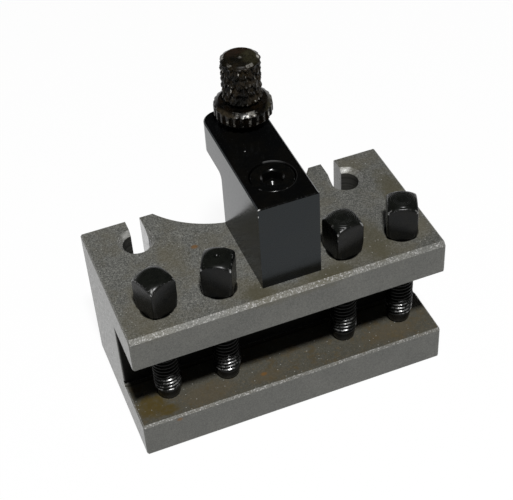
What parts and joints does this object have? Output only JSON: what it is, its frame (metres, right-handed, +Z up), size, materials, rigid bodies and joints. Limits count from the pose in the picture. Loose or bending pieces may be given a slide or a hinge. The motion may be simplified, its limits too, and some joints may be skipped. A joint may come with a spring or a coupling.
{
  "type": "turning tool holder",
  "caption": "Block-shaped holder that clamps a square-shank lathe tool in an open front slot and hooks on to a round tool post, with a height-setting screw on top",
  "frame": {"origin": "middle of the body's bottom face", "axes": "+Z up, +X along the tool slot, +Y from the open front of the slot to the back that hooks on to the tool post"},
  "size_m": [0.11, 0.0601, 0.1129],
  "materials": {
    "ground_steel": "ground grey steel with bright broken edges",
    "black_oxide_screws": "black oxide on steel, satin, bright where worn",
    "black_oxide_bracket": "black oxide on milled steel, semi-gloss",
    "black_oxide_knurled": "worn black oxide on knurled steel, brownish"
  },
  "bodies": {
    "holder": {"holder_body": "ground_steel", "height_bracket": "black_oxide_bracket", "bracket_cap_screw": "black_oxide_screws"},
    "clamp_1": {"clamp_screw_1": "black_oxide_screws"},
    "clamp_2": {"clamp_screw_2": "black_oxide_screws"},
    "clamp_3": {"clamp_screw_3": "black_oxide_screws"},
    "clamp_4": {"clamp_screw_4": "black_oxide_screws"},
    "lock_nut": {"lock_nut": "black_oxide_knurled"},
    "height_screw": {"height_screw": "black_oxide_knurled"}
  },
  "joints": [
    {"name": "clamp_1_lift", "type": "slide", "parent": "holder", "child": "clamp_1", "axis": [0, 0, 1], "range_m": [0, 0.0275]},
    {"name": "clamp_2_lift", "type": "slide", "parent": "holder", "child": "clamp_2", "axis": [0, 0, 1], "range_m": [0, 0.0275]},
    {"name": "clamp_3_lift", "type": "slide", "parent": "holder", "child": "clamp_3", "axis": [0, 0, 1], "range_m": [0, 0.0275]},
    {"name": "clamp_4_lift", "type": "slide", "parent": "holder", "child": "clamp_4", "axis": [0, 0, 1], "range_m": [0, 0.0275]},
    {"name": "lock_nut_turn", "type": "hinge", "parent": "holder", "child": "lock_nut", "pos_m": [0.00485, 0.02255, 0.0925], "axis": [0, 0, 1], "range_deg": [0, 300]},
    {"name": "height_screw_lift", "type": "slide", "parent": "holder", "child": "height_screw", "axis": [0, 0, 1], "range_m": [-0.0011, 0.015]}
  ]
}
